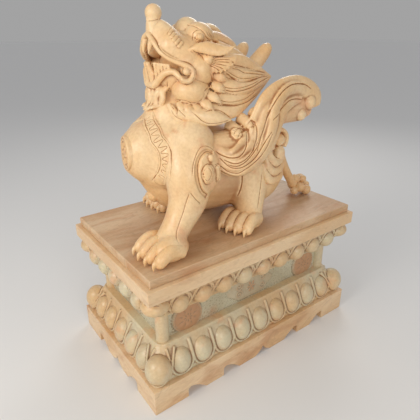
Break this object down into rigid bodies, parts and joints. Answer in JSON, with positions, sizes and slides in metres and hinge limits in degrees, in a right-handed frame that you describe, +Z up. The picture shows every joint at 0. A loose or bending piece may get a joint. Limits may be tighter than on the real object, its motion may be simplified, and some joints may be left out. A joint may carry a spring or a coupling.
{
  "type": "stone animal statue on a plinth",
  "caption": "Carved marble winged beast with its head thrown back, standing on a slab over a rectangular lotus plinth.",
  "frame": {"origin": "middle of the plinth's underside, on the ground", "axes": "+Z up, -Y the way the beast faces, +X its left flank"},
  "size_m": [0.561, 0.936, 1.1997],
  "materials": {
    "figure_marble": "polished beige marble with peach and brown veins",
    "plinth_marble": "polished beige marble with grey-green and peach veins"
  },
  "bodies": {
    "root": {"pixiu": "figure_marble", "pedestal": "plinth_marble"}
  },
  "joints": []
}
